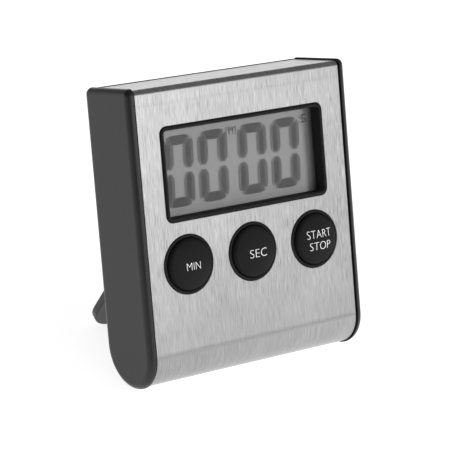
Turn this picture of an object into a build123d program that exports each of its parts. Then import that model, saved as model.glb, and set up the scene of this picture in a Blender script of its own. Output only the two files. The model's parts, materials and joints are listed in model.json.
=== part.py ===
from build123d import *
import os
from math import cos, radians, sin

# Digital kitchen timer: folded steel front on a black moulded case, three
# keys, a display window, a flap stand, two disc magnets and one AAA cell.
#
# Every piece is drawn in the case frame: X to the right, Y into the case
# from the steel face, Z up along the face.  standing() then tips the case
# back onto its stand, so the parts are saved with +Z up and the surface
# that the timer stands on at Z = 0.  All sizes are in millimetres.

# ---- driving dimensions -------------------------------------------------

CASE_WIDTH = 70.5
CASE_TOP = 69.65
CASE_LOW = -8.4
CASE_FRONT = -0.4
CASE_BACK = 19.6
CHEEK = 1.9                 # thickness of the two side walls
CHEEK_EDGE = 1.8            # rounding along their outer edges
ROLL_Y = 8.5                # depth of the lowest line of the rounded bottom

STEEL = 0.4
STEEL_TOP = 69.15
STEEL_BEND = 1.5
STEEL_GAP = 0.5             # groove between the steel's edges and the cheeks
CUTOUT_GAP = 0.3            # groove between the steel and the window collar
RING_GAP = 0.12             # groove between the steel and the key rings
STEEL_REAR = 18.6
COVER_LIP = 0.15            # height of the cover above the steel at the top
TAPE = 0.1
WALL = 1.5
COVER_WALL = 1.6
PARTING = 17.8              # depth where the case ends and the cover starts
SEAM = 11.9                 # depth where the steel ends underneath

WINDOW_Z = 46.6
WINDOW_OPENING = (50.4, 22.6)
WINDOW_RIM = 0.9
WINDOW_PROUD = 0.5
WINDOW_DEPTH = 3.15
WINDOW_CORNER = 0.9
RIM_EDGE = 0.38             # rounding along both edges of the window rim

KEY_Z = 22.95
KEY_PITCH = 20.6
KEY_R = 6.75
KEY_CROWN = 2.25            # height of the key's middle above the steel
KEY_EDGE = 0.9
KEY_TRAVEL = 0.7
RING_R = 7.75
RING_BORE = 6.95
RING_EDGE = 0.24            # rounding along both edges of a key ring
RING_PROUD = 0.25           # height of the key rings above the steel
STEM_END = 3.4              # depth of the end of a key's stem
SWITCH_FRONT = 4.2
PLUNGER_BACK = 5.4
PLUNGER_R = 1.6

BOARD_FRONT = 7.6
BOARD_BACK = 8.8

LEAN = 16.5                 # the case leans back by this angle, in degrees
STAND_OPEN = 47.9           # the stand's angle from the back, in degrees
STAND_WIDTH = 49.0
STAND_THICK = 2.2
STAND_CORNER = 7.6
STAND_EDGE = 0.35           # rounding along the stand's edges
STAND_PIVOT = (18.0, 27.5)  # depth and height of the pivot
STAND_PIN_R = 0.8

DOOR_PIVOT = (18.75, 54.65)
DOOR_TOP = 66.9
DOOR_HALF = 24.0
DOOR_THICK = 1.5

CELL_R = 5.15
CELL_LENGTH = 44.5
CELL_AT = (12.2, 60.2)      # depth and height of the cell's axis
CELL_TIP = 24.1             # X of the cell's positive end

MAGNET_R = 6.0
MAGNET_THICK = 2.4
MAGNET_AT = (22.0, 41.3)
MAGNET_PROUD = 0.1          # how far the magnets stand out of the back

SOUNDER_Z = 41.5
SOUNDER_R = 10.0
SOUNDER_BRASS = 0.2
SOUNDER_CERAMIC = 0.2
SOUNDER_SINK = 0.5          # gap between the sounder and the back cover

BOSS_R = 2.5                # case screw bosses
BOSS_BACK = 16.5
BOARD_BOSS_R = 1.9
CASE_PILOT_R = 1.0
BOARD_PILOT_R = 0.75
COVER_BOSS_R = 2.6
SCREW_HOLE_R = 1.15
SCREW_SINK_R = 2.1          # counterbore for a case screw's head
SCREW_SINK = 18.0           # depth of the counterbore's floor
CASE_SCREWS = [(-29.4, 64.0), (29.4, 64.0), (-29.4, 5.0), (29.4, 5.0)]
BOARD_SCREWS = [(-26.2, 13.2), (26.2, 13.2), (-10.3, 27.4), (10.3, 27.4)]

KEYS = {"min": -KEY_PITCH, "sec": 0.0, "start_stop": KEY_PITCH}

CHEEK_X = CASE_WIDTH / 2 - CHEEK
RUN_GAP = 0.05              # radial clearance of a pin in its hole


# ---- small builders -----------------------------------------------------

def slab(sketch, front, back):
    """Extrude a sketch drawn in X and Z between two depths."""
    return extrude(Plane.XZ.offset(-back) * sketch, amount=back - front)


def bar(sketch, left, right):
    """Extrude a sketch drawn in Y and Z between two X positions."""
    return extrude(Plane.YZ.offset(left) * sketch, amount=right - left)


def post(x, z, radius, front, back):
    """A round post that points into the case."""
    return slab(Pos(x, z) * Circle(radius), front, back)


def block(x, y, z):
    """A box from three (low, high) pairs."""
    centre = [(low + high) / 2 for low, high in (x, y, z)]
    size = [high - low for low, high in (x, y, z)]
    return Pos(*centre) * Box(*size)


def both_sides(shape):
    """A shape and its mirror image across the middle of the case."""
    return [shape, mirror(shape, about=Plane.YZ)]


def side_outline(inset, top, corner, rear_corner=0.3):
    """The case's side view, drawn in Y and Z and shrunk by an inset."""
    front = CASE_FRONT + inset
    back = CASE_BACK - inset
    low = CASE_LOW + inset
    front_r = ROLL_Y - front
    back_r = back - ROLL_Y
    edges = [
        Line((front, low + front_r), (front, top - corner)),
        CenterArc((front + corner, top - corner), corner, 90, 90),
        Line((front + corner, top), (back - rear_corner, top)),
        CenterArc((back - rear_corner, top - rear_corner), rear_corner, 0, 90),
        Line((back, top - rear_corner), (back, low + back_r)),
        CenterArc((ROLL_Y, low + back_r), back_r, 270, 90),
        CenterArc((ROLL_Y, low + front_r), front_r, 180, 90),
    ]
    return make_face(edges)


def band(inset, top, corner, thickness):
    """A closed strip that follows the side view, drawn in Y and Z."""
    inner = side_outline(inset + thickness, top - thickness, max(corner - thickness, 0.3))
    return side_outline(inset, top, corner) - inner


def without_back(strip, rear, under, seam):
    """Cut the back away: behind a depth on top, behind the seam below."""
    strip -= block((-40, 40), (rear, 30), (-20, 80))
    return strip - block((-40, 40), (seam, 30), (-20, under))


def screw(x, z, head_back, head_r, head_high, shank_r, reach):
    """A pan-head screw with a cross recess, driven from the back."""
    head_front = head_back - head_high
    head = post(x, z, head_r, head_front, head_back)
    head = fillet(head.edges().group_by(Axis.Y)[-1], 0.4)
    shank = post(x, z, shank_r, head_front - reach, head_front)
    shank = chamfer(shank.edges().group_by(Axis.Y)[0], 0.4)
    cross = Rectangle(head_r, 0.4) + Rectangle(0.4, head_r)
    return head + shank - slab(Pos(x, z) * cross, head_back - 0.6, head_back)


# ---- case ---------------------------------------------------------------

def front_housing():
    """Moulded case: cheeks, front wall, window collar, key wells, bosses."""
    wall_face = STEEL + TAPE
    wall_top = STEEL_TOP - STEEL - TAPE
    inner_face = wall_face + WALL
    corner = STEEL_BEND - STEEL
    shell = bar(band(wall_face - CASE_FRONT, wall_top, corner, WALL), -CHEEK_X, CHEEK_X)
    shell = without_back(shell, PARTING, wall_top - WALL, SEAM - 0.1)

    cheek = bar(side_outline(0, CASE_TOP, 1.6, 1.6), CHEEK_X, CHEEK_X + CHEEK)
    cheek = fillet(cheek.faces().sort_by(Axis.X)[-1].edges(), CHEEK_EDGE)
    shell += both_sides(cheek)

    wide, high = WINDOW_OPENING
    opening = Pos(0, WINDOW_Z) * RectangleRounded(wide, high, WINDOW_CORNER)
    outer_corner = WINDOW_CORNER + WINDOW_RIM
    collar = RectangleRounded(wide + 2 * WINDOW_RIM, high + 2 * WINDOW_RIM, outer_corner)
    collar = slab(Pos(0, WINDOW_Z) * collar - opening, -WINDOW_PROUD, WINDOW_DEPTH)
    collar = fillet(collar.edges().group_by(Axis.Y)[0], RIM_EDGE)
    for x, z in CASE_SCREWS:
        shell += post(x, z, BOSS_R, wall_face, BOSS_BACK)
    for x, z in BOARD_SCREWS:
        shell += post(x, z, BOARD_BOSS_R, wall_face, BOARD_FRONT)

    shell -= slab(opening, -1, WINDOW_DEPTH + 1)
    shell += collar
    for x in KEYS.values():
        shell -= post(x, KEY_Z, RING_BORE, -1, inner_face + 1)
        ring = Pos(x, KEY_Z) * (Circle(RING_R) - Circle(RING_BORE))
        ring = slab(ring, -RING_PROUD, inner_face)
        shell += fillet(ring.edges().group_by(Axis.Y)[0], RING_EDGE)
    for x, z in CASE_SCREWS:
        shell -= post(x, z, CASE_PILOT_R, 8.0, 17)
    for x, z in BOARD_SCREWS:
        shell -= post(x, z, BOARD_PILOT_R, 2.9, 8)
    return shell


def front_plate():
    """Brushed steel sheet folded over the top, front and rounded bottom."""
    edge = CHEEK_X - STEEL_GAP
    sheet = bar(band(-CASE_FRONT, STEEL_TOP, STEEL_BEND, STEEL), -edge, edge)
    sheet = without_back(sheet, STEEL_REAR, STEEL_TOP - STEEL, SEAM)
    return sheet - face_cutouts(-1, 3)


def face_cutouts(front, back):
    """The window and key openings in the sheet and its tape."""
    wide, high = WINDOW_OPENING
    margin = WINDOW_RIM + CUTOUT_GAP
    window = RectangleRounded(wide + 2 * margin, high + 2 * margin, WINDOW_CORNER + margin)
    cutouts = slab(Pos(0, WINDOW_Z) * window, front, back)
    for x in KEYS.values():
        cutouts += post(x, KEY_Z, RING_R + RING_GAP, front, back)
    return cutouts


def plate_tape():
    """Double-sided tape that holds the sheet on the front wall."""
    sheet = Pos(0, 34.5) * Rectangle(62, 63)
    return slab(sheet, STEEL, STEEL + TAPE) - face_cutouts(0, 1)


def display_lens():
    """Clear window glued behind the collar."""
    wide, high = WINDOW_OPENING
    lens = Pos(0, WINDOW_Z) * RectangleRounded(wide + 2.2, high + 2.2, 1.0)
    return slab(lens, WINDOW_DEPTH + 0.05, WINDOW_DEPTH + 0.4)


# ---- display ------------------------------------------------------------

LCD_FRONT = WINDOW_DEPTH + 0.45
LCD_GLASS = 0.55
LCD_GAP = 0.05
LCD_HALF = 27.0
LCD_LOW = 31.2
LCD_LEDGE = 33.5
LCD_HIGH = 59.9
LCD_FILM = 0.2
LCD_BACK = LCD_FRONT + 2 * LCD_GLASS + LCD_GAP + LCD_FILM


def lcd_front_glass():
    """Front glass, with the contact ledge along its lower edge."""
    return block((-LCD_HALF, LCD_HALF), (LCD_FRONT, LCD_FRONT + LCD_GLASS), (LCD_LOW, LCD_HIGH))


def lcd_rear_glass():
    """Rear glass, shorter than the front one by the contact ledge."""
    front = LCD_FRONT + LCD_GLASS + LCD_GAP
    return block((-LCD_HALF, LCD_HALF), (front, front + LCD_GLASS), (LCD_LEDGE, LCD_HIGH))


def lcd_reflector():
    """Rear polariser with its reflecting film."""
    front = LCD_FRONT + 2 * LCD_GLASS + LCD_GAP
    return block((-LCD_HALF + 0.3, LCD_HALF - 0.3), (front, LCD_BACK), (LCD_LEDGE, LCD_HIGH - 0.3))


def lcd_seal():
    """Glue seal that joins the two glasses round their edges."""
    front = LCD_FRONT + LCD_GLASS
    middle = (LCD_LEDGE + LCD_HIGH) / 2
    high = LCD_HIGH - LCD_LEDGE
    ring = Rectangle(2 * LCD_HALF, high) - Rectangle(2 * LCD_HALF - 1.4, high - 1.4)
    return slab(Pos(0, middle) * ring, front, front + LCD_GAP)


def lcd_holder():
    """Frame that presses the display against the window collar."""
    clearance = 0.12
    shelf = 0.68
    half = 28.6
    opening_half = 26.0
    back = LCD_BACK + clearance + shelf
    low = KEY_Z + KEY_R + 0.8
    outer = block((-half, half), (2.1, back), (low, 61.2))
    pocket = block((-27.2, 27.2), (2.0, LCD_BACK + clearance), (31.0, 60.1))
    window = block((-opening_half, opening_half), (2.0, back + 1), (31.0, 58.9))
    frame = outer - pocket - window
    for leg in both_sides(block((opening_half, half), (back, BOARD_FRONT), (low, 36.0))):
        frame += leg
    return frame


def zebra_strip():
    """Rubber connector between the board and the display's ledge."""
    return block((-25, 25), (LCD_FRONT + LCD_GLASS, BOARD_FRONT), (31.4, 33.2))


# ---- keys and switches --------------------------------------------------

def key_cap(x):
    """Domed key with a retaining flange and a stem, as one turned shape."""
    crown = -KEY_CROWN
    shoulder = -1.35
    side = KEY_R
    flange_front = STEEL + TAPE + WALL + 0.1
    flange_back = flange_front + 0.8
    top = ThreePointArc((0, crown), (3.0, crown + 0.2), (side - KEY_EDGE, shoulder))
    rim = TangentArc([top @ 1, (side, shoulder + KEY_EDGE + 0.25)], tangent=top % 1)
    profile = Polyline(
        rim @ 1,
        (side, flange_front),
        (side + 0.5, flange_front),
        (side + 0.5, flange_back),
        (5.6, flange_back),
        (5.6, -0.1),
        (1.5, -0.1),
        (1.5, STEM_END),
        (0, STEM_END),
        (0, crown),
    )
    return Pos(x, 0, KEY_Z) * revolve(make_face([top, rim, profile]), Axis.Y)


def switch_plunger(x):
    """Plunger of a tactile switch, in running fit in the switch body."""
    return post(x, KEY_Z, PLUNGER_R, STEM_END + 0.02, PLUNGER_BACK)


def switch_bodies():
    """Three tactile switch bodies, each with its plunger bore and feet."""
    bodies = []
    for x in KEYS.values():
        body = slab(Pos(x, KEY_Z) * Rectangle(6, 6), SWITCH_FRONT, BOARD_FRONT)
        bore_back = PLUNGER_BACK + KEY_TRAVEL + 0.2
        body -= post(x, KEY_Z, PLUNGER_R + RUN_GAP, SWITCH_FRONT - 1, bore_back)
        for side in (-1, 1):
            foot = Pos(x + side * 3.4, KEY_Z) * Rectangle(1.0, 4.6)
            body += slab(foot, BOARD_FRONT - 0.4, BOARD_FRONT)
        bodies.append(body)
    return Compound(bodies)


# ---- circuit board ------------------------------------------------------

def circuit_board():
    """Board that carries the switches, the chip and the contacts."""
    outline = Pos(0, 31.3) * RectangleRounded(56.4, 42.6, 1.5)
    board = slab(outline, BOARD_FRONT, BOARD_BACK)
    for x, z in BOARD_SCREWS:
        board -= post(x, z, 0.9, 7, 10)
    return board


def chip_blob():
    """Epoxy drop over the timer chip."""
    ball_r = 13.0
    drop_high = 1.4
    ball = Pos(0, BOARD_BACK + drop_high - ball_r, 17.0) * Sphere(ball_r)
    return ball & block((-8, 8), (BOARD_BACK, 12), (8, 26))


def crystal():
    """Watch crystal in its round can, lying on the board."""
    can = Pos(-16.0, BOARD_BACK + 1.05, 34.0) * Cylinder(1.0, 6.0)
    return fillet(can.edges().group_by(Axis.Z)[-1], 0.3)


def chip_parts():
    """Small resistors and capacitors beside the chip."""
    parts = []
    for x in (-14.0, -10.5, 10.5, 14.0):
        for z in (14.0, 19.0):
            parts.append(block((x - 0.8, x + 0.8), (BOARD_BACK, BOARD_BACK + 0.55), (z - 0.4, z + 0.4)))
    return Compound(parts)


def board_screws():
    """Four screws that hold the board to the case."""
    head_high = 1.0
    head_back = BOARD_BACK + head_high
    screws = [screw(x, z, head_back, 1.5, head_high, 0.7, 5.2) for x, z in BOARD_SCREWS]
    return Compound(screws)


# ---- rear cover ---------------------------------------------------------

COVER_FACE = CASE_BACK - 0.1
COVER_INNER = COVER_FACE - COVER_WALL
TRAY_FLOOR = 16.6
TRAY_WALL = 1.4
STAND_SLOT_X = STAND_WIDTH / 2 + 0.3
STOP_Z = STAND_PIVOT[1] + 0.3
TUB = {"x": 26.0, "front": 5.8, "low": 53.6, "high": 66.8}
TUB_WALL = 1.0


def cover_shell():
    """Back plate with its curved lower lip, fitted between the cheeks."""
    edge = CHEEK_X - 0.15
    plate = bar(band(0.1, STEEL_TOP + COVER_LIP, 0.5, COVER_WALL), -edge, edge)
    plate -= block((-40, 40), (-5, COVER_INNER), (3.0, 80))
    plate -= block((-40, 40), (-5, SEAM + 0.15), (-20, 10))
    plate -= block((-40, 40), (COVER_INNER - 1, STEEL_REAR + 0.05), (STEEL_TOP - STEEL - 0.1, 80))
    return plate


def stand_tray():
    """Solid block behind the stand's recess, cut to the case's side view."""
    half = STAND_SLOT_X + TRAY_WALL
    tray = block((-half, half), (TRAY_FLOOR - TRAY_WALL, COVER_FACE), (-8, STAND_PIVOT[1] + 3.4))
    return tray & bar(side_outline(0.1, STEEL_TOP, 0.6), -half, half)


def stand_recess():
    """Space that the folded stand fills, with its round pivot socket."""
    y, z = STAND_PIVOT
    recess = block((-STAND_SLOT_X, STAND_SLOT_X), (TRAY_FLOOR, 25), (-12, STOP_Z))
    socket = bar(Pos(y, z) * Circle(STAND_THICK / 2 + 0.3), -STAND_SLOT_X, STAND_SLOT_X)
    reach = STAND_SLOT_X + TRAY_WALL + 1
    pins = bar(Pos(y, z) * Circle(STAND_PIN_R + RUN_GAP), -reach, reach)
    return recess + socket + pins


def cell_tub():
    """Walls of the battery compartment."""
    x, front, low, high = TUB["x"], TUB["front"], TUB["low"], TUB["high"]
    tub = block((-x, x), (front, COVER_INNER + 0.5), (low, high))
    inner = block(
        (-x + TUB_WALL, x - TUB_WALL),
        (front + TUB_WALL, 25),
        (low + TUB_WALL, high - TUB_WALL),
    )
    slot = block((24.2, 25.0), (BOARD_BACK - 0.1, 11.2), (low - 1, low + TUB_WALL + 1))
    return tub - inner, [inner] + both_sides(slot)


def door_opening():
    """Opening that the battery door fills, with sockets for its stubs."""
    y, z = DOOR_PIVOT
    gap = 0.25
    opening = block((-DOOR_HALF - gap, DOOR_HALF + gap), (17.0, 25), (z - 1.0, DOOR_TOP + gap))
    stubs = bar(Pos(y, z) * Circle(0.5 + RUN_GAP), -DOOR_HALF - 1.5, DOOR_HALF + 1.5)
    notch = Pos(0, 21.5, DOOR_TOP + 0.2) * Cylinder(3.2, 4.0, rotation=(0, 90, 0))
    return opening + stubs + (notch & block((-6, 6), (15, 25), (60, 68)))


def rear_cover():
    """Back cover: stand recess, magnet cups, sound slots, battery tub."""
    cover = cover_shell() + stand_tray()
    tub, hollows = cell_tub()
    cover += tub
    x, z = MAGNET_AT
    pocket_floor = COVER_FACE + MAGNET_PROUD - MAGNET_THICK - 0.05
    for side in (-1, 1):
        cover += post(side * x, z, MAGNET_R + 1.1, pocket_floor - 0.9, COVER_FACE)
    cover += post(0, SOUNDER_Z, SOUNDER_R + 1.2, COVER_INNER - 1.1, COVER_INNER + 0.1)
    for sx, sz in CASE_SCREWS:
        cover += post(sx, sz, COVER_BOSS_R, BOSS_BACK + 0.1, COVER_FACE)

    cover -= stand_recess()
    for hollow in hollows:
        cover -= hollow
    cover -= door_opening()
    for side in (-1, 1):
        cover -= post(side * x, z, MAGNET_R + 0.1, pocket_floor, 25)
    cover -= post(0, SOUNDER_Z, SOUNDER_R + 0.1, COVER_INNER - 2, COVER_INNER - SOUNDER_SINK)
    cover -= post(0, SOUNDER_Z, SOUNDER_R - 0.9, COVER_INNER - 2, COVER_INNER)
    for row in range(-2, 3):
        slot = Pos(0, SOUNDER_Z + row * 2.6) * SlotOverall(13.0 - 2.0 * abs(row), 1.2)
        cover -= slab(slot, COVER_INNER - 1, 25)
    for sx, sz in CASE_SCREWS:
        cover -= post(sx, sz, SCREW_HOLE_R, 15, 25)
        cover -= post(sx, sz, SCREW_SINK_R, SCREW_SINK, 25)
    return cover


def case_screws():
    """Four screws, sunk in the back cover."""
    head_high = 1.2
    head_back = SCREW_SINK + head_high
    screws = [screw(x, z, head_back, 1.9, head_high, 0.95, 9.0) for x, z in CASE_SCREWS]
    return Compound(screws)


def magnets():
    """Two disc magnets, a hair proud of the back."""
    x, z = MAGNET_AT
    back = COVER_FACE + MAGNET_PROUD
    disc = post(x, z, MAGNET_R, back - MAGNET_THICK, back)
    disc = chamfer(disc.edges().group_by(Axis.Y)[-1], 0.25)
    return Compound(both_sides(disc))


def piezo_disc():
    """Brass plate of the sounder."""
    back = COVER_INNER - SOUNDER_SINK
    return post(0, SOUNDER_Z, SOUNDER_R, back - SOUNDER_BRASS, back)


def piezo_ceramic():
    """Silvered ceramic on the brass plate."""
    back = COVER_INNER - SOUNDER_SINK - SOUNDER_BRASS
    return post(0, SOUNDER_Z, 7.0, back - SOUNDER_CERAMIC, back)


def coil(radius, wire_r, pitch, height):
    """A coil spring that stands on the XY plane."""
    path = Helix(pitch=pitch, height=height, radius=radius)
    start = Plane(origin=path @ 0, z_dir=path % 0)
    return sweep(start * Circle(wire_r), path=path)


def sounder_springs():
    """Two contact springs from the board to the sounder."""
    front = BOARD_BACK + 0.2
    springs = []
    brass_face = COVER_INNER - SOUNDER_SINK - SOUNDER_BRASS
    for x, back in ((-8.5, brass_face - 0.2), (4.5, brass_face - SOUNDER_CERAMIC - 0.2)):
        spring = coil(1.0, 0.15, 1.1, back - front - 0.3)
        springs.append(Pos(x, front, SOUNDER_Z) * Rot(-90, 0, 0) * spring)
    return Compound(springs)


# ---- battery ------------------------------------------------------------

def cell_body():
    """AAA cell, bare can with its positive nub."""
    y, z = CELL_AT
    tail = CELL_TIP - CELL_LENGTH
    can = bar(Pos(y, z) * Circle(CELL_R), tail, CELL_TIP - 0.9)
    can = fillet(can.edges(), 0.4)
    nub = bar(Pos(y, z) * Circle(1.9), CELL_TIP - 1.4, CELL_TIP)
    nub = fillet(nub.edges().group_by(Axis.X)[-1], 0.3)
    return can + nub


def cell_sleeve():
    """Printed sleeve round the cell."""
    y, z = CELL_AT
    ring = Circle(CELL_R + 0.1) - Circle(CELL_R)
    return bar(Pos(y, z) * ring, CELL_TIP - CELL_LENGTH + 0.5, CELL_TIP - 1.4)


def contact_plate():
    """Sheet contact with a tail that is soldered to the board."""
    y, z = CELL_AT
    plate = block((24.45, 24.75), (y - 3.2, y + 3.6), (z - 4.2, z + 4.2))
    tail = block((24.45, 24.75), (BOARD_BACK + 0.02, 10.9), (50.4, z - 4.0))
    return plate + tail


def plus_contact():
    """Contact at the positive end, with a pressed bump."""
    y, z = CELL_AT
    return contact_plate() + bar(Pos(y, z) * Circle(1.5), CELL_TIP + 0.05, 24.5)


def minus_contact():
    """Contact plate at the negative end."""
    return mirror(contact_plate(), about=Plane.YZ)


def minus_spring():
    """Coil spring that presses on the cell's flat end."""
    y, z = CELL_AT
    left = -24.45
    right = CELL_TIP - CELL_LENGTH
    wire_r = 0.25
    spring = coil(2.6, wire_r, 1.15, right - left - 2 * wire_r - 0.1)
    return Pos(left + wire_r + 0.05, y, z) * Rot(0, 90, 0) * spring


def battery_door():
    """Door over the cell: round lower edge, two stubs, thumb bevel."""
    y, z = DOOR_PIVOT
    half = DOOR_THICK / 2
    plate = block((-DOOR_HALF, DOOR_HALF), (y - half, y + half), (z, DOOR_TOP))
    plate = chamfer(plate.edges().filter_by(Axis.X).sort_by(Axis.Z)[-2:].sort_by(Axis.Y)[-1], 0.5)
    plate += bar(Pos(y, z) * Circle(half), -DOOR_HALF, DOOR_HALF)
    plate += bar(Pos(y, z) * Circle(0.5), -DOOR_HALF - 1.2, DOOR_HALF + 1.2)
    for x in (-16.0, 0.0, 16.0):
        plate += block((x - 0.4, x + 0.4), (y - half - 0.25, y), (z + 2, DOOR_TOP - 1.5))
    return plate


# ---- stand --------------------------------------------------------------

def stand_length():
    """Pivot-to-end length that lets the end and the case bottom meet one surface."""
    lean, slope = radians(LEAN), radians(STAND_OPEN - LEAN)
    y, z = STAND_PIVOT
    pivot_high = z * cos(lean) - y * sin(lean) - surface_height()
    side_drop = (STAND_THICK / 2 - STAND_EDGE) * sin(slope)
    return STAND_EDGE + (pivot_high - STAND_EDGE - side_drop) / cos(slope)


def surface_height():
    """Height of the surface, in tipped axes, under the rounded bottom."""
    lean = radians(LEAN)
    back_r = CASE_BACK - ROLL_Y
    return (CASE_LOW + back_r) * cos(lean) - ROLL_Y * sin(lean) - back_r


def stand_leg():
    """Flap with a rounded free end, turned out to its open stop."""
    y, z = STAND_PIVOT
    long = stand_length()
    half_thick = STAND_THICK / 2
    half = STAND_WIDTH / 2
    flap = RectangleRounded(STAND_WIDTH, long + STAND_CORNER, STAND_CORNER)
    flap = Pos(0, (STAND_CORNER - long) / 2) * flap
    flap -= Pos(0, STAND_CORNER) * Rectangle(2 * STAND_WIDTH, 2 * STAND_CORNER)
    flap = slab(flap, -half_thick, half_thick)
    rim = flap.edges().filter_by(lambda edge: edge.center().Z < -0.5 and abs(edge.center().Y) > 0.9)
    flap = fillet(rim, STAND_EDGE)
    flap += bar(Circle(half_thick), -half, half)
    pin = half + 0.3 + TRAY_WALL - 0.1
    flap += bar(Circle(STAND_PIN_R), -pin, pin)
    return Pos(0, y, z) * Rot(STAND_OPEN, 0, 0) * flap


# ---- placing and saving -------------------------------------------------

def standing():
    """Tip the case back and put the footprint's middle on the origin."""
    lean, slope = radians(LEAN), radians(STAND_OPEN - LEAN)
    front_r = ROLL_Y - CASE_FRONT
    nearest = ROLL_Y * cos(lean) + (CASE_LOW + front_r) * sin(lean) - front_r
    y, z = STAND_PIVOT
    end = (stand_length() - STAND_EDGE) * sin(slope)
    side = (STAND_THICK / 2 - STAND_EDGE) * cos(slope)
    farthest = y * cos(lean) + z * sin(lean) + end + side + STAND_EDGE
    middle = (nearest + farthest) / 2
    return Pos(0, -middle, -surface_height()) * Rot(-LEAN, 0, 0)


def all_parts():
    """Every node's shape, in the case frame."""
    parts = {
        "front_housing": front_housing(),
        "front_plate": front_plate(),
        "plate_tape": plate_tape(),
        "display_lens": display_lens(),
        "lcd_front_glass": lcd_front_glass(),
        "lcd_seal": lcd_seal(),
        "lcd_rear_glass": lcd_rear_glass(),
        "lcd_reflector": lcd_reflector(),
        "lcd_holder": lcd_holder(),
        "zebra_strip": zebra_strip(),
        "circuit_board": circuit_board(),
        "chip_blob": chip_blob(),
        "crystal": crystal(),
        "chip_parts": chip_parts(),
        "board_screws": board_screws(),
        "switch_bodies": switch_bodies(),
        "rear_cover": rear_cover(),
        "case_screws": case_screws(),
        "magnets": magnets(),
        "piezo_disc": piezo_disc(),
        "piezo_ceramic": piezo_ceramic(),
        "sounder_springs": sounder_springs(),
        "cell_body": cell_body(),
        "cell_sleeve": cell_sleeve(),
        "plus_contact": plus_contact(),
        "minus_contact": minus_contact(),
        "minus_spring": minus_spring(),
        "battery_door": battery_door(),
        "stand_leg": stand_leg(),
    }
    for name, x in KEYS.items():
        parts["key_" + name] = key_cap(x)
        parts["plunger_" + name] = switch_plunger(x)
    return parts


def main():
    os.makedirs("parts", exist_ok=True)
    place = standing()
    for name, shape in all_parts().items():
        export_step(place * shape, "parts/" + name + ".step")


main()
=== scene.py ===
import json
import math

import bmesh
import bpy
from mathutils import Matrix, Vector


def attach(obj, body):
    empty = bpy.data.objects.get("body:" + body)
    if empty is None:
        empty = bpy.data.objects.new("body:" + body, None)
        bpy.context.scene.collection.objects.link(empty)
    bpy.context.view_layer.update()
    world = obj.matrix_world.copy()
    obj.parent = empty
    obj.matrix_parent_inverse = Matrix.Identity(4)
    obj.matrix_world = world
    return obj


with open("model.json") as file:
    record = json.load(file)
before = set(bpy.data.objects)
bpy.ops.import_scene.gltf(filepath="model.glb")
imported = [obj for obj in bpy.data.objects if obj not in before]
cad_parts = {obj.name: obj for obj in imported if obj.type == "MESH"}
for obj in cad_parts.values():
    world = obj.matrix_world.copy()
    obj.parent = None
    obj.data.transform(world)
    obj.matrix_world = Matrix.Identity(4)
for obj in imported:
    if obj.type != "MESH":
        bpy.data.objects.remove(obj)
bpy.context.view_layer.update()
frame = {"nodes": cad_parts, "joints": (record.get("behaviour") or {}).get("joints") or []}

# Looks for a digital kitchen timer.  The case leans back on its stand, so
# most places are given in the case's own frame: X to the right, Y into the
# case from the steel face, Z up along the face, in millimetres.

MM = 0.001
CASE = "case"

# ---- case frame, read from the joints -------------------------------------

JOINTS = {joint["name"]: joint for joint in frame["joints"]}
INWARD = Vector(JOINTS["min_press"]["axis"])
LEAN = math.atan2(-INWARD.z, INWARD.y)
UPWARD = Vector((0, math.sin(LEAN), math.cos(LEAN)))
STAND_PIVOT = (18.0, 27.5)  # Y and Z of the stand's pins in the case's frame
PIVOT_AT = Vector(JOINTS["stand_fold"]["pos_m"])
CASE_ORIGIN = PIVOT_AT - (INWARD * STAND_PIVOT[0] + UPWARD * STAND_PIVOT[1]) * MM
CASE_FRAME = Matrix.Translation(CASE_ORIGIN) @ Matrix.Rotation(-LEAN, 4, "X")

WINDOW_HALF = 25.2          # half the width of the display's window
WINDOW_SHADE = 1.4          # width of the painted shadow strip beside the collar's walls
FOLD_Z = 0.5                # height at which the steel starts to curve under
CURVE_LOW_Z = -12.0         # below everything that curves under
TOP_BEND_Z = 65.0           # height of the faint line under the top bend
CHEEK_X = 33.35             # inner faces of the two cheeks
SOFT_EDGE = 0.1             # half the width of a mask's edge


def case_point(x, y, z):
    """World coordinates, in metres, of a place in the case's frame."""
    return CASE_FRAME @ (Vector((x, y, z)) * MM)


# ---- materials ------------------------------------------------------------

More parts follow.
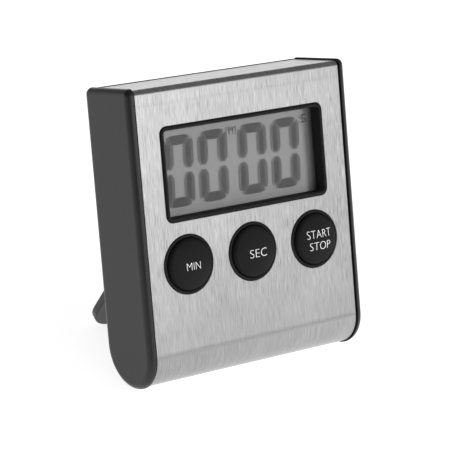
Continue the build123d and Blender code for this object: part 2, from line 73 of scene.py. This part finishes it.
class Shader:
    """A node material under construction, with coordinates in metres."""

    def __init__(self, name, **inputs):
        self.material = bpy.data.materials.new(name)
        self.material.use_nodes = True
        self.tree = self.material.node_tree
        self.bsdf = self.tree.nodes["Principled BSDF"]
        for socket, value in inputs.items():
            self.bsdf.inputs[socket.replace("_", " ")].default_value = value
        self.bump_from = None

    def node(self, kind, **settings):
        """A new node of one kind, with its settings."""
        made = self.tree.nodes.new(kind)
        for name, value in settings.items():
            setattr(made, name, value)
        return made

    def link(self, source, target):
        """Join one node's output to another's input."""
        self.tree.links.new(source, target)

    def place(self, stretch=(1, 1, 1)):
        """Coordinates in the case's own frame, in metres, then stretched."""
        coords = self.node("ShaderNodeTexCoord")
        turn = self.node("ShaderNodeMapping", vector_type="POINT")
        turn.inputs["Rotation"].default_value = (LEAN, 0, 0)
        turn.inputs["Location"].default_value = CASE_FRAME.inverted().translation
        self.link(coords.outputs["Object"], turn.inputs["Vector"])
        scale = self.node("ShaderNodeMapping", vector_type="POINT")
        scale.inputs["Scale"].default_value = stretch
        self.link(turn.outputs["Vector"], scale.inputs["Vector"])
        return scale.outputs["Vector"]

    def noise(self, size_mm, stretch=(1, 1, 1), detail=3.0, roughness=0.55):
        """Noise whose features are about size_mm across."""
        made = self.node("ShaderNodeTexNoise")
        made.inputs["Scale"].default_value = 1.0 / (size_mm * MM)
        made.inputs["Detail"].default_value = detail
        made.inputs["Roughness"].default_value = roughness
        self.link(self.place(stretch), made.inputs["Vector"])
        return made.outputs["Fac"]

    def cells(self, size_mm, feature="DISTANCE_TO_EDGE"):
        """Distance from the edges of cells about size_mm across."""
        made = self.node("ShaderNodeTexVoronoi", feature=feature)
        made.inputs["Scale"].default_value = 1.0 / (size_mm * MM)
        self.link(self.place(), made.inputs["Vector"])
        return made.outputs["Distance"]

    def along(self, axis):
        """One coordinate of the case's own frame, in metres."""
        split = self.node("ShaderNodeSeparateXYZ")
        self.link(self.place(), split.inputs["Vector"])
        return split.outputs[axis]

    def line(self, height_mm, width_mm):
        """A soft line across the case at one height: 1 on it, 0 away from it."""
        away = self.maths(self.along("Z"), -height_mm * MM)
        away = self.maths(away, 0.0, "ABSOLUTE")
        return self.spread(away, 1.0, 0.0, 0.0, width_mm * MM)

    def within(self, axis, low_mm, high_mm):
        """1 between two case coordinates, 0 outside them, with soft edges."""
        half = (high_mm - low_mm) / 2
        away = self.maths(self.along(axis), -(low_mm + half) * MM)
        away = self.maths(away, 0.0, "ABSOLUTE")
        return self.spread(away, 1.0, 0.0, (half - SOFT_EDGE) * MM, (half + SOFT_EDGE) * MM)

    def spread(self, fac, low, high, start=0.3, end=0.7):
        """Map a texture's useful range onto low..high."""
        made = self.node("ShaderNodeMapRange")
        made.inputs["From Min"].default_value = start
        made.inputs["From Max"].default_value = end
        made.inputs["To Min"].default_value = low
        made.inputs["To Max"].default_value = high
        self.link(fac, made.inputs["Value"])
        return made.outputs["Result"]

    def maths(self, first, second, how="ADD"):
        """A sum, product or other combination of two values."""
        made = self.node("ShaderNodeMath", operation=how)
        self.link(first, made.inputs[0])
        if isinstance(second, (int, float)):
            made.inputs[1].default_value = second
        else:
            self.link(second, made.inputs[1])
        return made.outputs["Value"]

    def mixed(self, first, second, share):
        """Two values in the shares share and 1 - share."""
        first = self.maths(first, share, "MULTIPLY")
        second = self.maths(second, 1 - share, "MULTIPLY")
        return self.maths(first, second)

    def tint(self, fac, dark, light, start=0.3, end=0.7):
        """Base colour between two greys or colours; returns the ramp."""
        ramp = self.node("ShaderNodeValToRGB")
        stops = ramp.color_ramp.elements
        stops[0].position, stops[1].position = start, end
        stops[0].color = as_colour(dark)
        stops[1].color = as_colour(light)
        self.link(fac, ramp.inputs["Fac"])
        self.link(ramp.outputs["Color"], self.bsdf.inputs["Base Color"])
        return ramp

    def rough(self, fac, low, high):
        """Roughness between two values."""
        self.link(self.spread(fac, low, high), self.bsdf.inputs["Roughness"])

    def bump(self, height, depth_mm, strength=1.0):
        """Stack a bump whose height texture spans depth_mm."""
        made = self.node("ShaderNodeBump")
        made.inputs["Strength"].default_value = strength
        made.inputs["Distance"].default_value = depth_mm * MM
        self.link(height, made.inputs["Height"])
        if self.bump_from:
            self.link(self.bump_from, made.inputs["Normal"])
        self.bump_from = made.outputs["Normal"]
        self.link(self.bump_from, self.bsdf.inputs["Normal"])


def as_colour(value):
    """A grey or a colour with full alpha."""
    if isinstance(value, (int, float)):
        return (value, value, value, 1)
    return (*value, 1)


def dress(shader, *nodes):
    """Give a finished material to CAD nodes."""
    for name in nodes:
        data = frame["nodes"][name].data
        data.materials.clear()
        data.materials.append(shader.material)


def moulded_plastic(name, dark, light, rough, gloss, grain_mm=0.35, grain_depth=0.012):
    """Spark-eroded ABS: fine grain, faint flow marks and rubbed patches."""
    made = Shader(name, Specular_IOR_Level=gloss)
    patches = made.noise(14.0, detail=4.0)
    made.tint(patches, dark, light)
    fine = made.noise(0.5, detail=2.0)
    made.rough(made.mixed(patches, fine, 0.6), *rough)
    made.bump(made.noise(grain_mm, detail=2.0), grain_depth, 0.7)
    made.bump(made.noise(9.0, detail=1.0), 0.02, 0.5)
    return made


def case_plastic():
    """The case's moulding: satin cheeks; between them duller, with a darker colour as painted
    shade on the grooves, collar and rings.
    """
    made = moulded_plastic("case_black", 0.006, 0.010, (0.26, 0.36), 0.40)
    inside = made.within("X", -CHEEK_X, CHEEK_X)
    # Between the cheeks the roughness is higher and the base colour darker; the darker colour is
    # painted shade.
    for socket, dull_and_shaded in (("Base Color", 0.005), ("Roughness", 0.85)):
        mix = made.node("ShaderNodeMapRange")
        plain = made.bsdf.inputs[socket].links[0].from_socket
        made.link(inside, mix.inputs["Value"])
        made.link(plain, mix.inputs["To Min"])
        mix.inputs["To Max"].default_value = dull_and_shaded
        made.link(mix.outputs["Result"], made.bsdf.inputs[socket])
    return made


GRAIN_CONTRAST = (0.42, 1.2)        # of the brushing, low on the face and higher up
UNDER_SHADE = (-0.12, -0.075)       # painted shade under the fold, at the left and at the right


def brushed_steel():
    """Stainless sheet brushed up and down, with darker lines along its two bends and painted shade
    under the fold.
    """
    made = Shader("steel_sheet", Metallic=1.0, Anisotropic=0.6)
    made.bsdf.inputs["Anisotropic Rotation"].default_value = 0.25
    hair = made.noise(0.095, (1, 0.028, 0.028), detail=1.0)     # the finest scratches
    streak = made.noise(0.17, (1, 0.02, 0.02), detail=1.0)      # wider, longer ones
    cloud = made.noise(11.0, (1, 0.5, 0.5), detail=4.0)         # slow changes of tone
    blend = made.mixed(made.mixed(hair, streak, 0.62), cloud, 0.85)
    contrast = made.spread(made.along("Z"), *GRAIN_CONTRAST, -5 * MM, 20 * MM)
    blend = made.maths(made.maths(made.maths(blend, -0.5), contrast, "MULTIPLY"), 0.5)
    # Painted shade under the fold, darker towards the left.
    under = made.within("Z", CURVE_LOW_Z, FOLD_Z)
    shade = made.spread(made.along("X"), *UNDER_SHADE, -CHEEK_X * MM, CHEEK_X * MM)
    blend = made.maths(blend, made.maths(under, shade, "MULTIPLY"))
    for height, width, weight in ((FOLD_Z, 0.9, -0.07), (TOP_BEND_Z, 0.8, -0.03)):
        blend = made.maths(blend, made.maths(made.line(height, width), weight, "MULTIPLY"))
    made.tint(blend, 0.305, 0.605, 0.37, 0.63)
    made.rough(blend, 0.26, 0.36)
    made.bump(hair, 0.003, 0.5)
    made.bump(streak, 0.002, 0.5)
    tangent = made.node("ShaderNodeTangent", direction_type="RADIAL", axis="X")
    made.link(tangent.outputs["Tangent"], made.bsdf.inputs["Tangent"])
    return made


def clear_window(name, alpha, rough):
    """Clear cover: thin reflections with faint smears."""
    made = Shader(name, Alpha=alpha, IOR=1.49)
    smear = made.noise(7.0, (1, 1, 0.5), detail=4.0)
    made.tint(smear, 0.20, 0.30)
    made.rough(smear, *rough)
    made.material.surface_render_method = "BLENDED"
    return made


def display_film():
    """Grey reflecting film behind the liquid crystal, with painted shadow darkening it beside the
    collar's walls.
    """
    made = Shader("lcd_film", Specular_IOR_Level=0.2)
    fine = made.noise(0.25, detail=2.0)
    grey = made.tint(fine, 0.175, 0.205).outputs["Color"]
    # Painted shadow of the collar's walls: darker towards both ends of the window.
    away = made.maths(made.along("X"), 0.0, "ABSOLUTE")
    wall_shadow = made.spread(away, 1.0, 0.3, (WINDOW_HALF - WINDOW_SHADE) * MM, WINDOW_HALF * MM)
    made.link(made.maths(grey, wall_shadow, "MULTIPLY"), made.bsdf.inputs["Base Color"])
    made.rough(fine, 0.45, 0.6)
    made.bump(fine, 0.004, 0.5)
    return made


def ink(name, dark, light, alpha=1.0):
    """Printed or switched ink, slightly uneven."""
    made = Shader(name, Alpha=alpha, Specular_IOR_Level=0.2)
    fine = made.noise(0.2, detail=2.0)
    made.tint(fine, dark, light)
    made.rough(fine, 0.5, 0.65)
    if alpha < 1:
        made.material.surface_render_method = "BLENDED"
    return made.material


def plated(name, shade, rough):
    """Bright plated metal with fine scuffs."""
    made = Shader(name, Metallic=1.0)
    scuff = made.noise(0.8, (1, 6, 1), detail=4.0)
    made.tint(scuff, [c * 0.8 for c in shade], shade)
    made.rough(scuff, *rough)
    made.bump(scuff, 0.006, 0.4)
    return made


def board_mask():
    """Green solder mask over faint tracks."""
    made = Shader("board_green", Metallic=0.0)
    tracks = made.cells(4.5)
    made.tint(tracks, (0.02, 0.10, 0.04), (0.012, 0.055, 0.025), 0.03, 0.06)
    made.rough(made.noise(1.0), 0.3, 0.45)
    made.bump(tracks, 0.03, 0.4)
    return made


def rubber(name, shade):
    """Layered silicone with fine bands."""
    made = Shader(name)
    bands = made.noise(0.15, (1, 0.05, 0.05))
    made.tint(bands, [c * 0.4 for c in shade], shade)
    made.rough(bands, 0.6, 0.8)
    made.bump(bands, 0.01, 0.4)
    return made


def plain_plastic(name, shade, rough):
    """Smooth moulding that only shows inside the case."""
    made = Shader(name)
    patches = made.noise(3.0)
    made.tint(patches, [c * 0.85 for c in shade], shade)
    made.rough(patches, *rough)
    made.bump(made.noise(0.4), 0.006, 0.4)
    return made


def dress_all():
    """Every CAD node's material."""
    dress(case_plastic(), "front_housing")
    cover_black = moulded_plastic("cover_black", 0.010, 0.016, (0.42, 0.56), 0.42)
    dress(cover_black, "rear_cover", "battery_door")
    dress(moulded_plastic("stand_black", 0.015, 0.021, (0.30, 0.42), 0.40), "stand_leg")
    keys = moulded_plastic("key_black", 0.006, 0.009, (0.50, 0.62), 0.11, 0.25, 0.006)
    dress(keys, "key_min", "key_sec", "key_start_stop")
    dress(brushed_steel(), "front_plate")
    dress(clear_window("window_clear", 0.06, (0.05, 0.12)), "display_lens")
    dress(display_film(), "lcd_front_glass", "lcd_rear_glass", "lcd_reflector")
    dress(plain_plastic("lcd_seal", (0.2, 0.2, 0.2), (0.4, 0.6)), "lcd_seal")
    dress(plain_plastic("holder_white", (0.75, 0.75, 0.72), (0.35, 0.5)), "lcd_holder")
    dress(rubber("zebra_rubber", (0.55, 0.3, 0.35)), "zebra_strip")
    dress(board_mask(), "circuit_board")
    dress(plain_plastic("chip_epoxy", (0.01, 0.01, 0.01), (0.1, 0.2)), "chip_blob")
    dress(plain_plastic("chip_ceramic", (0.4, 0.28, 0.16), (0.3, 0.45)), "chip_parts")
    switch_parts = ["switch_bodies", "plunger_min", "plunger_sec", "plunger_start_stop"]
    dress(plain_plastic("switch_plastic", (0.06, 0.06, 0.06), (0.35, 0.5)), *switch_parts)
    bright = plated("bright_metal", (0.75, 0.75, 0.73), (0.18, 0.35))
    metals = ["crystal", "board_screws", "sounder_springs", "plus_contact", "minus_contact"]
    dress(bright, *metals, "minus_spring")
    dress(plated("screw_black", (0.06, 0.06, 0.06), (0.3, 0.45)), "case_screws")
    dress(plated("magnet_nickel", (0.62, 0.61, 0.59), (0.22, 0.4)), "magnets")
    dress(plated("sounder_brass", (0.7, 0.5, 0.2), (0.25, 0.4)), "piezo_disc")
    dress(plain_plastic("sounder_ceramic", (0.7, 0.7, 0.68), (0.3, 0.45)), "piezo_ceramic")
    dress(plated("cell_metal", (0.7, 0.7, 0.68), (0.25, 0.4)), "cell_body")
    dress(plain_plastic("cell_sleeve", (0.03, 0.07, 0.22), (0.2, 0.3)), "cell_sleeve")
    dress(plain_plastic("tape", (0.7, 0.7, 0.66), (0.4, 0.6)), "plate_tape")


# ---- display --------------------------------------------------------------

DIGIT_WIDTH = 8.8
DIGIT_HIGH = 55.85
DIGIT_LOW = 37.3
DIGIT_PITCH = 10.95
PAIR_PITCH = 23.75
FIRST_DIGIT = -22.7         # left edge of the first digit
STROKE = 2.5
SLANT = math.tan(math.radians(2.4))
GAP = 0.3                   # between the top stroke and the side strokes
CUT = GAP * 0.3             # taken off each slanted end of the top stroke
MIDDLE_GAP = 0.5            # from mid height to the tip of a side stroke
TIP_HIGH = 1.3              # height of a side stroke's pointed end
CORNER = 2.7                # radius of a digit's outer corners
SHOWN_LIFT = 0.03           # the switched strokes' height above the glass
SHADE_LIFT = 0.015
SHADE_SHIFT = 0.92          # how far left the strokes' painted shadow is shifted
INK_SINK = 0.02             # how far the ink reaches into the glass


def front_depth(node):
    """Depth of a node's front, in the case's frame."""
    surface = frame["nodes"][node]
    inverse = CASE_FRAME.inverted() @ surface.matrix_world
    return min((inverse @ vertex.co).y for vertex in surface.data.vertices) / MM


def new_piece(name, outlines, depth, material, body, thickness):
    """Flat plates from closed outlines in the case's X and Z, as one piece."""
    mesh = bmesh.new()
    for outline in outlines:
        rings = []
        for y in (depth, depth + thickness):
            rings.append([mesh.verts.new(case_point(x, y, z)) for x, z in outline])
        front, back = rings
        mesh.faces.new(front)
        mesh.faces.new(list(reversed(back)))
        for i in range(len(outline)):
            j = (i + 1) % len(outline)
            mesh.faces.new((front[j], front[i], back[i], back[j]))
    bmesh.ops.recalc_face_normals(mesh, faces=mesh.faces)
    data = bpy.data.meshes.new(name)
    mesh.to_mesh(data)
    mesh.free()
    return as_piece(name, data, material, body)


def arc(centre, radius, start, end, steps=8):
    """Points on an arc, angles in degrees."""
    points = []
    for i in range(steps + 1):
        angle = math.radians(start + (end - start) * i / steps)
        points.append((centre[0] + radius * math.cos(angle), centre[1] + radius * math.sin(angle)))
    return points


def cap_segment(width, high):
    """Top stroke of a digit: rounded shoulders and ends cut at a slant."""
    left = arc((CORNER, high - CORNER), CORNER, 130, 90)
    right = arc((width - CORNER, high - CORNER), CORNER, 90, 50)
    outer = [(x + CUT, z) for x, z in left] + [(x - CUT, z) for x, z in right]
    return outer + [(width - STROKE - CUT, high - STROKE), (STROKE + CUT, high - STROKE)]


def side_segment(high):
    """Left upper stroke: outer shoulder, pointed lower end at mid height."""
    tip = high / 2 + MIDDLE_GAP
    base = tip + TIP_HIGH
    shoulder = arc((CORNER, high - CORNER), CORNER, 138, 180)
    pointed = [(0, base), (STROKE * 0.4, tip), (STROKE * 0.6, tip), (STROKE, base)]
    return shoulder + pointed + [(STROKE, high - STROKE - GAP)]


def upside_down(outline, high):
    """The same stroke at the digit's other end."""
    return [(x, high - z) for x, z in outline]


def mirrored(outline):
    """The same stroke on the digit's other side."""
    return [(DIGIT_WIDTH - x, z) for x, z in outline]


def digit_outlines(left):
    """Six strokes of a nought, leaning a little to the right."""
    high = DIGIT_HIGH - DIGIT_LOW
    cap = cap_segment(DIGIT_WIDTH, high)
    side = side_segment(high)
    side_below = upside_down(side, high)
    strokes = [cap, upside_down(cap, high), side, side_below, mirrored(side), mirrored(side_below)]
    slanted = []
    for outline in strokes:
        slanted.append([(left + x + (z - high / 2) * SLANT, DIGIT_LOW + z) for x, z in outline])
    return slanted


def display_outlines():
    """The strokes of all four digits."""
    outlines = []
    for pair in range(2):
        for digit in range(2):
            outlines += digit_outlines(FIRST_DIGIT + pair * PAIR_PITCH + digit * DIGIT_PITCH)
    return outlines


def add_display():
    """Switched strokes and unit letters, and a dark copy of them as the painted shadow they would
    cast behind.
    """
    shown = ink("lcd_ink", 0.015, 0.03, 0.46)
    # A dark copy of the strokes and letters, shifted left, is a painted shadow behind them.
    painted_shadow = ink("lcd_shade", 0.073, 0.083)
    face = front_depth("lcd_front_glass")
    for name, material, shift, depth in (
        ("lcd_shown", shown, 0.0, face - SHOWN_LIFT),
        ("lcd_shade", painted_shadow, SHADE_SHIFT, face - SHADE_LIFT),
    ):
        thickness = face + INK_SINK - depth
        moved = [[(x - shift, z) for x, z in outline] for outline in display_outlines()]
        segments = new_piece(name + "_digits", moved, depth, material, CASE, thickness)
        for letter, (left, right, low, high) in UNIT_LETTERS.items():
            data = letter_mesh(letter, (left - shift, right - shift, low, high))
            lay_flat(data, depth, thickness)
            as_piece(name + "_" + letter, data, material, CASE)


# ---- lettering ------------------------------------------------------------

# Boxes in the case's frame: left, right, low, high.
UNIT_LETTERS = {"M": (-2.1, 0.4, 53.7, 55.9), "S": (22.1, 23.85, 53.7, 56.0)}
# Each word's node, body and box.
KEY_WORDS = {
    "MIN": ("key_min", "min_key", (-22.75, -18.5, 21.7, 23.6)),
    "SEC": ("key_sec", "sec_key", (-2.5, 3.0, 21.6, 23.7)),
    "START": ("key_start_stop", "start_stop_key", (16.85, 24.8, 23.4, 25.5)),
    "STOP": ("key_start_stop", "start_stop_key", (17.5, 24.4, 20.2, 22.3)),
}
PRINT_WEIGHT = -0.026       # thins the key words' strokes
PRINT_HALF = 0.06           # half the thickness of the key words
FACE_AWAY = -10.0           # depth of a start point in front of every surface
WELD = 1e-5                 # distance under which a letter's points are one


def letter_mesh(words, box, weight=0.0):
    """Closed flat letters, stretched to fill a box in the case's X and Z.

    Their Y is 1 or -1, for the front or the back, until they are laid down.
    """
    curve = bpy.data.curves.new(words, "FONT")
    curve.body = words
    curve.extrude = 0.01
    curve.offset = weight
    curve.resolution_u = 5
    text = bpy.data.objects.new(words + "_curve", curve)
    bpy.context.scene.collection.objects.link(text)
    graph = bpy.context.evaluated_depsgraph_get()
    data = bpy.data.meshes.new_from_object(text.evaluated_get(graph))
    bpy.data.objects.remove(text)
    mesh = bmesh.new()
    mesh.from_mesh(data)
    bmesh.ops.remove_doubles(mesh, verts=mesh.verts, dist=WELD)
    across = [vertex.co.x for vertex in mesh.verts]
    upward = [vertex.co.y for vertex in mesh.verts]
    left, right, low, high = box
    for vertex in mesh.verts:
        share_x = (vertex.co.x - min(across)) / (max(across) - min(across))
        share_z = (vertex.co.y - min(upward)) / (max(upward) - min(upward))
        side = 1 if vertex.co.z > 0 else -1
        vertex.co = (left + share_x * (right - left), side, low + share_z * (high - low))
    mesh.to_mesh(data)
    mesh.free()
    return data


def lay_flat(data, depth, thickness):
    """Move letters from the case's X and Z to a plane inside the case."""
    for vertex in data.vertices:
        x, side, z = vertex.co
        vertex.co = case_point(x, depth + (thickness if side < 0 else 0), z)


def lay_on(data, node, half):
    """Wrap letters onto a node's front, half of their thickness proud of it."""
    surface = frame["nodes"][node]
    inverse = CASE_FRAME.inverted()
    for vertex in data.vertices:
        x, side, z = vertex.co
        _, place, _, _ = surface.ray_cast(case_point(x, FACE_AWAY, z), INWARD)
        depth = (inverse @ place).y / MM
        vertex.co = case_point(x, depth - half * side, z)


def as_piece(name, data, material, body):
    """Put a mesh in the scene as a piece that moves with a body."""
    data.name = name
    data.materials.clear()
    data.materials.append(material)
    piece = bpy.data.objects.new(name, data)
    bpy.context.scene.collection.objects.link(piece)
    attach(piece, body)
    return piece


def add_labels():
    """Words pad-printed on the keys."""
    white = ink("key_print", 0.68, 0.85)
    for word, (node, body, box) in KEY_WORDS.items():
        data = letter_mesh(word, box, PRINT_WEIGHT)
        lay_on(data, node, PRINT_HALF)
        as_piece("label_" + word.lower(), data, white, body)


# ---- stage ----------------------------------------------------------------

FLOOR_HALF = 3.0            # metres
CEILING_LEVEL = 0.20
# The glow along the horizon, by direction: axis, start, end, first, last.
HORIZON_RAMPS = (
    ("X", -0.5, 0.2, 0.45, 1.0),
    ("Y", -0.4, 0.5, 0.28, 1.85),
    ("Z", 0.0, 0.22, 1.0, 0.0),
)


def add_floor():
    """A plain white table, lit evenly."""
    mesh = bpy.data.meshes.new("floor")
    half = FLOOR_HALF
    corners = [(-half, -half, 0), (half, -half, 0), (half, half, 0), (-half, half, 0)]
    mesh.from_pydata(corners, [], [(0, 1, 2, 3)])
    floor = bpy.data.objects.new("floor", mesh)
    bpy.context.scene.collection.objects.link(floor)
    made = Shader("lit_table", Roughness=0.8, Emission_Color=(1, 1, 1, 1), Emission_Strength=0.865)
    made.tint(made.noise(40.0), 0.38, 0.44)
    mesh.materials.append(made.material)


def add_light(name, place, aim, size, watts, glossy=True):
    """A rectangular soft light; glossy says if reflections show it."""
    data = bpy.data.lights.new(name, "AREA")
    data.shape = "RECTANGLE"
    data.size, data.size_y = size
    data.energy = watts
    lamp = bpy.data.objects.new(name, data)
    lamp.location = place
    lamp.rotation_euler = (Vector(aim) - Vector(place)).to_track_quat("-Z", "Y").to_euler()
    lamp.visible_glossy = glossy
    bpy.context.scene.collection.objects.link(lamp)


def add_world():
    """Studio: a dim ceiling over a white horizon that is brighter behind."""
    world = bpy.data.worlds.new("studio")
    bpy.context.scene.world = world
    world.use_nodes = True
    tree = world.node_tree
    back = tree.nodes["Background"]
    coords = tree.nodes.new("ShaderNodeTexCoord")
    split = tree.nodes.new("ShaderNodeSeparateXYZ")
    tree.links.new(coords.outputs["Generated"], split.inputs["Vector"])
    glow = None
    for axis, start, end, low, high in HORIZON_RAMPS:
        ramp = tree.nodes.new("ShaderNodeMapRange")
        ramp.interpolation_type = "SMOOTHSTEP"
        ramp.inputs["From Min"].default_value = start
        ramp.inputs["From Max"].default_value = end
        ramp.inputs["To Min"].default_value = low
        ramp.inputs["To Max"].default_value = high
        tree.links.new(split.outputs[axis], ramp.inputs["Value"])
        level = tree.nodes.new("ShaderNodeMath")
        level.operation = "MULTIPLY"
        level.inputs[0].default_value = 1.0
        if glow:
            tree.links.new(glow, level.inputs[0])
        tree.links.new(ramp.outputs["Result"], level.inputs[1])
        glow = level.outputs["Value"]
    level = tree.nodes.new("ShaderNodeMath")
    level.operation = "ADD"
    tree.links.new(glow, level.inputs[0])
    level.inputs[1].default_value = CEILING_LEVEL
    tree.links.new(level.outputs["Value"], back.inputs["Color"])


def add_lights():
    """Soft lamps above, in front and to the right; places and sizes in metres."""
    add_light("overhead", (0.1, -0.1, 1.2), (0, 0, 0), (1.6, 1.6), 4, glossy=False)
    add_light("front_soft", (0.16, -0.85, 0.31), (0, 0, 0.06), (1.0, 0.4), 2.35)
    add_light("side_soft", (0.58, -0.76, 0.38), (0, 0, 0.06), (0.3, 0.3), 10, glossy=False)


# ---- camera ---------------------------------------------------------------

# The camera's place is given in the case's frame.
CAMERA_AIM = (0.0, 11.33, 29.05)
CAMERA_DISTANCE = 0.64115
CAMERA_AZIMUTH = math.radians(-35.914)
CAMERA_ELEVATION = math.radians(8.696)
CAMERA_ROLL = math.radians(-4.705)
CAMERA_LENS = 193.9
SENSOR_WIDTH = 36.0


def add_camera():
    """The camera, aimed at the middle of the case."""
    data = bpy.data.cameras.new("camera")
    data.sensor_width = SENSOR_WIDTH
    data.lens = CAMERA_LENS
    camera = bpy.data.objects.new("camera", data)
    flat = math.cos(CAMERA_ELEVATION)
    away = Vector((
        math.sin(CAMERA_AZIMUTH) * flat,
        -math.cos(CAMERA_AZIMUTH) * flat,
        math.sin(CAMERA_ELEVATION),
    ))
    turn = (-away).to_track_quat("-Z", "Y").to_matrix().to_4x4()
    place = Matrix.Translation(Vector(CAMERA_AIM) * MM + away * CAMERA_DISTANCE)
    camera.matrix_world = CASE_FRAME @ place @ turn @ Matrix.Rotation(CAMERA_ROLL, 4, "Z")
    bpy.context.scene.collection.objects.link(camera)
    bpy.context.scene.camera = camera


bpy.context.scene.view_settings.view_transform = "Standard"
add_camera()
dress_all()
add_display()
add_labels()
add_floor()
add_world()
add_lights()
